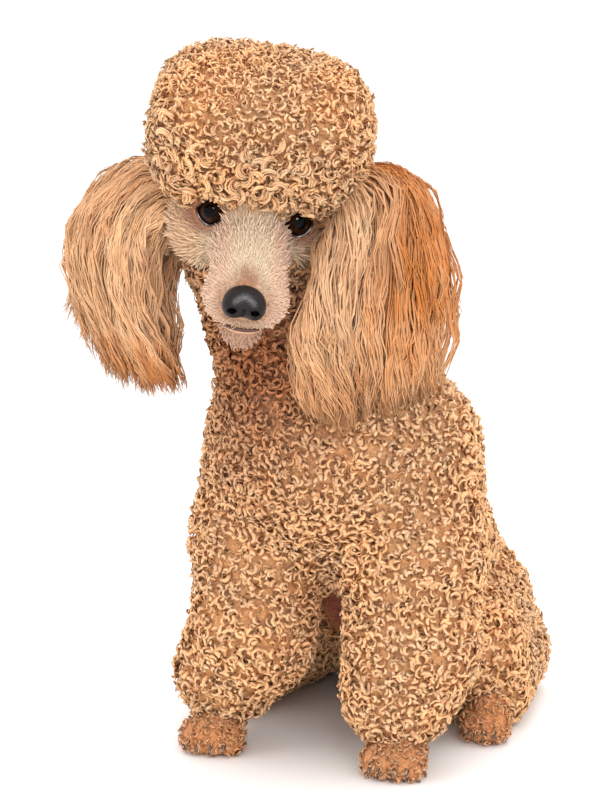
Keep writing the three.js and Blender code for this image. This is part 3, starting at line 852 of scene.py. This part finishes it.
def ear_locks(guides, random):
    """Long wavy locks over both faces of an ear, most of them reaching its tips."""

    def each(low, high):
        """A value for each lock, the same for all its strands."""
        return np.repeat(random.uniform(low, high, LOCKS), HAIRS)

    def vary(spread):
        """A small change from strand to strand."""
        return random.normal(0, spread, LOCKS * HAIRS)

    middle = each(0.0, 1.0)
    start = np.clip(each(0.0, 0.62) + vary(0.02), 0, 1)
    end = np.clip(start + each(0.35, 0.8), 0.55, 1.0) + vary(0.02)
    face = np.repeat(random.choice([-1.0, 1.0], LOCKS), HAIRS)
    deep = each(0, 1)
    s = np.linspace(0, 1, HAIR_STEPS)
    down = start[:, None] + (end - start)[:, None] * s
    gather = vary(0.032)[:, None] * (1 - 0.7 * s)
    across = np.clip(middle[:, None] + each(-0.05, 0.05)[:, None] * s + gather, -0.04, 1.04)
    places = ear_lie(guides, across, np.clip(down, 0, 1.04))
    facing = ear_facing(guides, np.clip(across, 0, 1), np.clip(down, 0, 0.99))
    height = np.sin(np.pi * np.clip(down, 0, 1) ** 0.8) * (3 + 15 * deep)[:, None] + 1.5
    wave = 2 * np.pi * (down * EAR_LENGTH / each(27, 42)[:, None]) + (each(0, 3.5) + vary(0.3))[:, None]
    sway = (each(1.6, 5.2) + vary(0.5))[:, None] * (0.3 + 0.7 * smooth(s / 0.8))
    sideways = unit(np.cross(facing, np.gradient(places, axis=1)))
    places = places + facing * (face[:, None] * height + 0.6 * sway * np.cos(wave))[..., None]
    places = places + sideways * (sway * np.sin(wave))[..., None]
    return places, facing[:, HAIR_STEPS // 2] * face[:, None], middle, start


def ear_tones(side, lines, middle, random):
    """Tan with darker tips on the right ear, a pale front lobe and a rusty back one on the left."""
    s = np.linspace(0, 1, HAIR_STEPS)
    lock = np.repeat(random.normal(0, 1, LOCKS), HAIRS)[:, None]
    own = random.normal(0, 1, LOCKS * HAIRS)
    low = smooth((300 - lines[..., 2]) / 45)
    if side == "right":
        darkness = 0.2 + 0.14 * lock + 0.6 * low * smooth((s - 0.3) / 0.5)
    else:
        back = smooth((middle - 0.34) / 0.3)[:, None]
        high = smooth((lines[..., 2] - 260) / 70)
        darkness = 0.22 + 0.12 * lock + back * (0.3 + 0.45 * high) + 0.35 * low * (1 - back)
    darkness = darkness + 0.12 * dappled(lines)
    tone = mix(EAR_LIGHT, EAR_DARK, np.clip(darkness, 0, 1.15))
    bright = np.clip(1 + 0.07 * own + 0.06 * patchy(lines[:, 0]), 0.6, 1.3)
    return np.clip(tone * bright[:, None, None], 0, PALEST)


def build_ears():
    """Each ear's locks and the leather inside them, in place of its solid."""
    for seed, (side, guides) in enumerate(EARS.items()):
        random = np.random.default_rng(40 + seed)
        lines, facing, middle, start = ear_locks(guides, random)
        tones = ear_tones(side, lines, middle, random)
        radii = radii_for(lines, 0.9, random)
        patches = framed(middle, start, 0.02)
        coat_pieces("hair_ear_" + side, HAIR, "ear", lines, radii, tones, patches, facing)
        points, faces = ear_leather(guides)
        piece = new_mesh("leather_" + side, points, faces, even(EAR_LIGHT * 0.6, points))
        place_piece(piece, SKIN, "ear", "ear_" + side)


def ear_leather(guides):
    """The ear's own flap, a closed sheet that ends half way down the hair."""
    cells, thick, reach = 14, 4.0, 0.45
    across, down = np.meshgrid(np.linspace(0, 1, cells), np.linspace(0, reach, cells), indexing="ij")
    sheet = ear_lie(guides, across, down)
    facing = ear_facing(guides, across, down)
    points = np.concatenate([(sheet + facing * half).reshape(-1, 3) for half in (thick / 2, -thick / 2)])
    number = np.arange(cells * cells).reshape(cells, cells)
    front = np.stack([number[:-1, :-1], number[1:, :-1], number[1:, 1:], number[:-1, 1:]], -1)
    front = front.reshape(-1, 4)
    back = front[:, ::-1] + cells * cells
    rim = np.concatenate([number[:-1, 0], number[-1, :-1], number[:0:-1, -1], number[0, :0:-1]])
    after = np.roll(rim, -1)
    edge = np.stack([after, rim, rim + cells * cells, after + cells * cells], -1)
    return points, [np.concatenate([front, back, edge])]


# The face


def mouth_line(t, drop, lift):
    """Places round the muzzle, for t from -1 to 1 between the corners of the mouth."""
    none = np.zeros(len(t))
    start = np.stack([none, -40 + MOUTH["corner"] * t * t, 3 * t * t - drop], 1)
    way = np.stack([np.sin(t * np.pi / 2), -np.cos(t * np.pi / 2), none], 1)
    near, far = none, np.full(len(t), 60.0)
    for _ in range(20):
        middle = (near + far) / 2
        short = FACE(start + way * middle[:, None]) < lift
        near, far = np.where(short, middle, near), np.where(short, far, middle)
    return start + way * near[:, None]


def near_line(q, line):
    """Distance of places from a line of close points."""
    away = np.full(len(q), 1e3)
    for point in line:
        away = np.minimum(away, np.linalg.norm(q - point, axis=1))
    return away


MOUTH_PATH = mouth_line(np.linspace(-1, 1, 49), MOUTH["drop"], 1.6)


def bare_face(q):
    """Where the face has no hair: the eyes, the nose and the lips."""
    bare = np.linalg.norm(q - NOSE_AT, axis=1) < 14
    for s in SIDES.values():
        local = (q - eye_centre(s)) @ eye_turn(s)
        bare |= (almond(local) < 2.0) & (local[:, 1] < 0) & (np.linalg.norm(local, axis=1) < 16)
    return bare | (near_line(q, MOUTH_PATH) < 1.8)


def face_tones(q):
    """Cream over the muzzle, pinker at its sides, rusty round the eyes, brown by the nose and lips."""
    tone = even(CREAM, q)
    tone = mix(tone, MIDDLE, 0.8 * smooth((np.abs(q[:, 0]) - 20) / 20))
    tone = mix(tone, MIDDLE, 0.7 * smooth((q[:, 2] - 4) / 12))
    side = smooth((np.abs(q[:, 0]) - 7) / 9) * smooth((-q[:, 1] - 4) / 20)
    tone = mix(tone, PINK, 0.4 * side)
    for s in SIDES.values():
        local = (q - eye_centre(s)) @ eye_turn(s)
        ring = np.exp(-((np.linalg.norm(local / [1.15, 1, 1], axis=1) / 16) ** 6))
        outer = np.exp(-((np.linalg.norm((local - [s * 11, 2, -1]) / [9, 9, 5], axis=1)) ** 4))
        inner = np.exp(-((np.linalg.norm((local - [-s * 10, -4, -2]) / [7, 9, 6], axis=1)) ** 4))
        tone = mix(tone, RUST, 0.95 * np.maximum(ring, outer))
        tone = mix(tone, PINK * 0.8, 0.6 * inner)
    above_nose = (q - NOSE_AT - [0, 8, 13]) / [8, 12, 9]
    tone = mix(tone, SMUDGE, 0.9 * np.exp(-(np.linalg.norm(above_nose, axis=1) ** 4)))
    round_nose = np.linalg.norm(q - NOSE_AT - [0, 3, -2], axis=1)
    tone = mix(tone, SMUDGE, 0.8 * np.exp(-((round_nose / 18) ** 6)))
    return mix(tone, SMUDGE, 0.75 * smooth((-q[:, 2] - 44) / 7))


def open_face(p):
    """The head in front of its coat and under its topknot."""
    q = to_head(p)
    return (q[:, 1] <= 45) & (q[:, 2] <= 32)


def build_face_hair():
    """Short hair that lies flat, away from the nose."""
    random = np.random.default_rng(51)
    roots = scatter(head_shell, SPACING["face"], random, open_face)
    roots = roots[~bare_face(to_head(roots)) & open_face(roots)]
    out = unit(slope(HEAD_SKIN, roots, 1.0))
    q = to_head(roots)
    source = NOSE_AT + [0, -4, 4]
    away = unit(q - source) @ HEAD.T
    flow = unit(away - out * (away * out).sum(1, keepdims=True))
    flow = unit(flow + 0.18 * random.normal(size=flow.shape))
    far = smooth((np.linalg.norm(q - source, axis=1) - 22) / 50)
    for s in SIDES.values():
        far = far * smooth((np.linalg.norm(q - eye_centre(s), axis=1) - 11) / 12)
    length = (3.6 + 5.5 * far) * random.uniform(0.8, 1.2, len(q))
    steps = 4
    s = np.linspace(0, 1, steps)
    bend = random.normal(0, 0.12, (len(q), 3))
    lines = (
        (roots - out * 0.5)[:, None]
        + flow[:, None] * (length[:, None] * s)[..., None]
        + out[:, None] * ((1.0 + 0.1 * length)[:, None] * np.sin(s * 2.2))[..., None]
        + bend[:, None] * (length[:, None] * s**2)[..., None]
    )
    tone = face_tones(q) * (1 + 0.06 * random.normal(size=(len(q), 1)))
    tones = np.clip(tone[:, None] * np.linspace(0.9, 1.06, steps)[:, None], 0, PALEST)
    patches = unwrapped(roots, from_head((0, 60, -5)), from_head((0, -70, -35)))
    radii = radii_for(lines, 0.62, random)
    coat_pieces("hair_face", FUR, "face", lines, radii, tones, patches, out)


def tube(name, line, radii, tone, look, slot, closed=False, sides=8):
    """A round cord of even colour along a line of points; its ends are closed unless it is a ring."""
    line = np.asarray(line, float)
    ahead, behind = np.roll(line, -1, 0), np.roll(line, 1, 0)
    if not closed:
        ahead[-1], behind[0] = line[-1], line[0]
    way = unit(ahead - behind)
    side = unit(np.cross(way, [0.05, 0.2, 1.0]))
    other = np.cross(side, way)
    turn = np.linspace(0, 2 * np.pi, sides, endpoint=False)
    spokes = side[:, None] * np.cos(turn)[:, None] + other[:, None] * np.sin(turn)[:, None]
    points = (line[:, None] + np.broadcast_to(radii, len(line))[:, None, None] * spokes).reshape(-1, 3)
    k, j = np.meshgrid(np.arange(len(line) - (not closed)), np.arange(sides), indexing="ij")
    after, onward = (j + 1) % sides, (k + 1) % len(line)
    k, onward = k * sides, onward * sides
    quads = [np.stack([k + j, onward + j, onward + after, k + after], -1).reshape(-1, 4)]
    if not closed:
        first = np.arange(sides)[None]
        quads += [first, (first + (len(line) - 1) * sides)[:, ::-1]]
    place_piece(new_mesh(name, points, quads, even(tone, points)), look, slot)


def build_eyes():
    """Glossy dark brown eyes that look up towards the viewer, and their dark rims."""
    rings, sides = 28, 40
    turns = np.linspace(0, 2 * np.pi, sides, endpoint=False)
    lean, turn = np.meshgrid(np.linspace(0, np.pi, rings), turns, indexing="ij")
    gaze = unit(np.array([0.0, -1.0, 0.14]))
    across = np.array([1.0, 0.0, 0.0])
    up = np.cross(across, gaze)
    cornea = 0.7 * smooth((math.radians(46) - lean) / math.radians(26))
    reach = EYE["radius"] - 0.1 + cornea
    flat = np.cos(turn)[..., None] * across + np.sin(turn)[..., None] * up
    ball = reach[..., None] * (np.cos(lean)[..., None] * gaze + np.sin(lean)[..., None] * flat)
    off = np.degrees(lean)
    tone = mix(PUPIL, IRIS, smooth((off - 20) / 5))
    tone = mix(tone, IRIS_EDGE, smooth((off - 40) / 14))
    tone = mix(tone, EYE_CORNER, smooth((off - 60) / 8))
    k, j = np.meshgrid(np.arange(rings - 1) * sides, np.arange(sides), indexing="ij")
    after = (j + 1) % sides
    quads = np.stack([k + j, k + after, k + sides + after, k + sides + j], -1).reshape(-1, 4)
    u = np.linspace(0, 2 * np.pi, 48, endpoint=False)
    x = EYE["opening"][0] / 2 * np.cos(u)
    z = np.sign(np.sin(u)) * EYE["opening"][1] / 2 * (1 - np.cos(u) ** 2)
    away = EYE["radius"] + 0.9
    y = -np.sqrt(np.maximum(away**2 - x**2 - z**2, 4))
    rim = np.stack([x, y, z], 1)
    for side, s in SIDES.items():
        points = from_head(ball.reshape(-1, 3) @ eye_turn(s).T + eye_centre(s))
        piece = new_mesh("ball_" + side, points, [quads], tone.reshape(-1, 3))
        place_piece(piece, EYEBALL, "eye", "eye_" + side)
        edge = from_head(rim @ eye_turn(s).T + eye_centre(s))
        tube("rim_" + side, edge, 1.15, LID_RIM, RIM, "eye", closed=True)


def build_nose():
    """A dark pebbled nose with its nostrils and the groove between them, with painted shade darkening the
    leather in and round the nostrils.
    """
    sides = SIDES.values()
    bridge = egg((0, 2, 2), (12.2, 10, 10))
    body = blend([bridge, *(egg((s * 7, -1, -1), (6.6, 8, 7.6)) for s in sides)], 4)
    nostril = egg((0, 0, 0), (2.9, 5.0, 2.1))
    groove_width, groove_depth = 1.6, 1.4

    def local(p):
        return to_head(p) - NOSE_AT

    def nostrils(q):
        """Distance from the nearer nostril's hole."""
        return np.min([nostril((q - [s * 7.2, -8, -1.5]) @ turned(0, s * 24, s * 30)) for s in sides], 0)

    def form(p):
        q = local(p)
        d = np.maximum(body(q), -nostrils(q))
        groove = np.minimum(groove_width / 2 - np.abs(q[:, 0]), d + groove_depth)
        low = (q[:, 1] < -4) & (q[:, 2] < 1)
        return np.where(low, np.maximum(d, groove), d)

    middle = from_head(NOSE_AT)
    points, quads = shell(form, middle - 19, middle + 19, 0.7)
    # painted shade in and round the nostrils' holes
    painted_shade = np.exp(-((nostrils(local(points)) / 1.6) ** 2))
    tone = even(NOSE_TONE, points) * (1 - 0.75 * painted_shade[:, None])
    place_piece(new_mesh("nose_leather", points, [quads], tone), LEATHER, "nose", "nose")


def build_lips():
    """The dark line of the shut mouth, and the edge of the lower lip under its middle."""
    t = np.linspace(-0.8, 0.8, 40)
    width = 1 - 0.6 * t**4
    tube("mouth", from_head(mouth_line(t, MOUTH["drop"], 2.0)), 0.8 * width, LIP_TONE, LIP, "face")
    t = np.linspace(-0.42, 0.42, 30)
    width = 1 - 0.8 * (t / 0.42) ** 4
    lower = from_head(mouth_line(t, MOUTH["drop"] + 1.9, 2.0))
    tube("lower_lip", lower, 0.8 * width, LOWER_LIP, LIP, "face")


def build_claws():
    """A dark claw on each toe, curving forwards and down."""
    for number, paw in enumerate(PAWS):
        for k in TOES:
            root = toe_at(paw, k) + [0, -paw[2] * 0.5 + 3, 1]
            s = np.linspace(0, 1, 7)
            line = root + np.stack([np.zeros(7), -9 * s, -6.5 * s**1.6], 1)
            label = f"claw_{number + 1}_{TOES.index(k) + 1}"
            tube(label, line, 2.2 * (1 - 0.85 * s), CLAW_TONE, CLAW, "paw")


def build_paw_hair():
    """Short reddish curls on the paws, down to the claws."""
    random = np.random.default_rng(61)
    roots = scatter(paw_shell, SPACING["paw"], random, lambda p: (p[:, 2] > 2.5) & (BODY(p) > -4))
    out = unit(slope(PAW_SKIN, roots, 1.0))
    lines = curls(roots, out, 2.0, 6.5, 0.8, 7, random)
    tones = coat_tones(lines, 0.7, 0.9, random) * PAW_SHADE
    patches = unwrapped(roots, (0, -140, 0), (0, -140, 40))
    radii = radii_for(lines, 1.1, random)
    coat_pieces("curls_paws", CURLS, "paw", lines, radii, tones, patches, out)


build_skin()
build_curls()
build_ears()
build_face_hair()
build_eyes()
build_nose()
build_lips()
build_paw_hair()
build_claws()

# The studio

CAMERA = {"azimuth": 19, "elevation": 12, "target": (-0.031, -0.120, 0.232), "distance": 2.0, "lens": 133.3}
SKY = 1.25
FLOOR_GREY = 0.97
# Each lamp's place, its width in metres and its power in watts; the last is seen only as a glint
LAMPS = {
    "key": ((1.0, -2.0, 1.5), 1.2, 15),
    "fill": ((-1.6, -1.5, 0.9), 1.2, 6),
    "top": ((0.1, 0.2, 1.9), 1.4, 12),
    "glint": ((0.85, -1.9, 1.5), 0.7, 110),
}


def studio_floor():
    """A white floor just under the part."""
    bpy.ops.mesh.primitive_plane_add(size=60, location=(0, 0, -0.0005))
    floor = bpy.context.object
    floor.name = "floor"
    paint = bpy.data.materials.new("floor")
    paint.use_nodes = True
    shader = paint.node_tree.nodes["Principled BSDF"]
    shader.inputs["Base Color"].default_value = (FLOOR_GREY, FLOOR_GREY, FLOOR_GREY, 1)
    shader.inputs["Roughness"].default_value = 0.6
    floor.data.materials.append(paint)


def studio_light():
    """An even white sky and the lamps."""
    world = bpy.data.worlds.new("studio")
    world.use_nodes = True
    sky = world.node_tree.nodes["Background"]
    sky.inputs["Color"].default_value = (1, 1, 1, 1)
    sky.inputs["Strength"].default_value = SKY
    bpy.context.scene.world = world
    for name, (at, size, power) in LAMPS.items():
        light = bpy.data.lights.new(name, "AREA")
        light.size = size
        light.energy = power
        lamp = bpy.data.objects.new(name, light)
        lamp.location = at
        lamp.rotation_euler = (Vector(CAMERA["target"]) - Vector(at)).to_track_quat("-Z", "Y").to_euler()
        lamp.visible_glossy = name == "glint"
        lamp.visible_diffuse = name != "glint"
        bpy.context.scene.collection.objects.link(lamp)


def studio_camera():
    """A long lens at the photo's height."""
    camera = bpy.data.objects.new("camera", bpy.data.cameras.new("camera"))
    turn, rise = math.radians(CAMERA["azimuth"]), math.radians(CAMERA["elevation"])
    back = Vector((math.sin(turn) * math.cos(rise), -math.cos(turn) * math.cos(rise), math.sin(rise)))
    camera.location = Vector(CAMERA["target"]) + back * CAMERA["distance"]
    camera.rotation_euler = (-back).to_track_quat("-Z", "Y").to_euler()
    camera.data.lens = CAMERA["lens"]
    camera.data.sensor_width = 36
    camera.data.clip_start = 0.05
    bpy.context.scene.collection.objects.link(camera)
    bpy.context.scene.camera = camera
    bpy.context.scene.view_settings.view_transform = "Standard"


studio_floor()
studio_light()
studio_camera()
